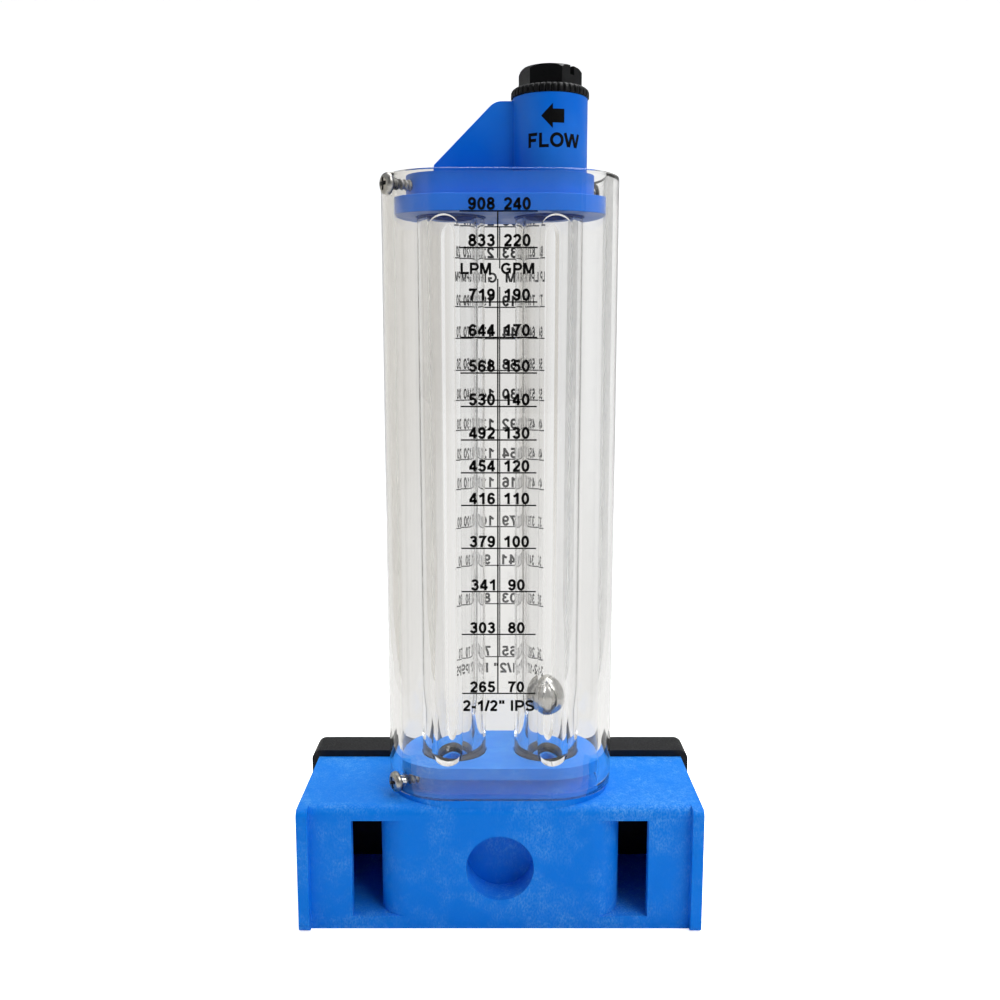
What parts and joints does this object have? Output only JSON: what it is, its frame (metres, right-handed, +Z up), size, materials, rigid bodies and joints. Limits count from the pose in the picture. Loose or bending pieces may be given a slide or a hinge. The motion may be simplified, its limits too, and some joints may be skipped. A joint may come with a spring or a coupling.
{
  "type": "rotameter",
  "caption": "Ball rotameter for a horizontal pipe: blue saddle base, clear two-tube body with a scale, blue top manifold with a cleaning plug, rubber pad and pitot probe behind.",
  "frame": {"origin": "middle of the bounding box at the bottom of the base", "axes": "+X along the pipe, to the right as the scale is read; +Y back towards the pipe, along the pitot probe; +Z up along the metering tubes"},
  "size_m": [0.1456, 0.093, 0.2925],
  "materials": {
    "base_blue": "glass-filled polypropylene, moulded, frosted",
    "manifold_blue": "moulded ABS, satin",
    "clear_acrylic": "clear moulded acrylic, polished",
    "plug_black": "black moulded nylon",
    "seal_black": "EPDM rubber",
    "seal_blue": "moulded silicone rubber, blue",
    "pad_rubber": "moulded EPDM rubber, satin",
    "stainless": "stainless steel, turned and polished",
    "probe_grey": "moulded polypropylene"
  },
  "bodies": {
    "meter_body": {"base_housing": "base_blue", "clear_body": "clear_acrylic", "tube_plate": "manifold_blue", "top_manifold": "manifold_blue", "lower_ring_left": "seal_black", "lower_ring_right": "seal_black", "upper_ring_left": "seal_blue", "upper_ring_right": "seal_blue", "lower_screw_front": "stainless", "lower_screw_rear": "stainless", "upper_screw_front": "stainless", "upper_screw_rear": "stainless", "saddle_pad": "pad_rubber", "probe_seal": "seal_black", "pitot_probe": "probe_grey"},
    "float": {"ball_float": "stainless"},
    "plug_seal": {"plug_ring": "seal_black"},
    "plug": {"cleaning_plug": "plug_black"}
  },
  "joints": [
    {"name": "ball_rise", "type": "slide", "parent": "meter_body", "child": "float", "axis": [0, 0, 1], "range_m": [0, 0.165]},
    {"name": "plug_lift", "type": "slide", "parent": "meter_body", "child": "plug_seal", "axis": [0, 0, 1], "range_m": [0, 0.0081]},
    {"name": "plug_turn", "type": "hinge", "parent": "plug_seal", "child": "plug", "pos_m": [0.0166, -0.02095, 0.283], "axis": [0, 0, 1], "range_deg": [0, 1440]}
  ],
  "couplings": [
    {"joint": "plug_lift", "follows": "plug_turn", "m_per_rad": 0.0003183}
  ]
}
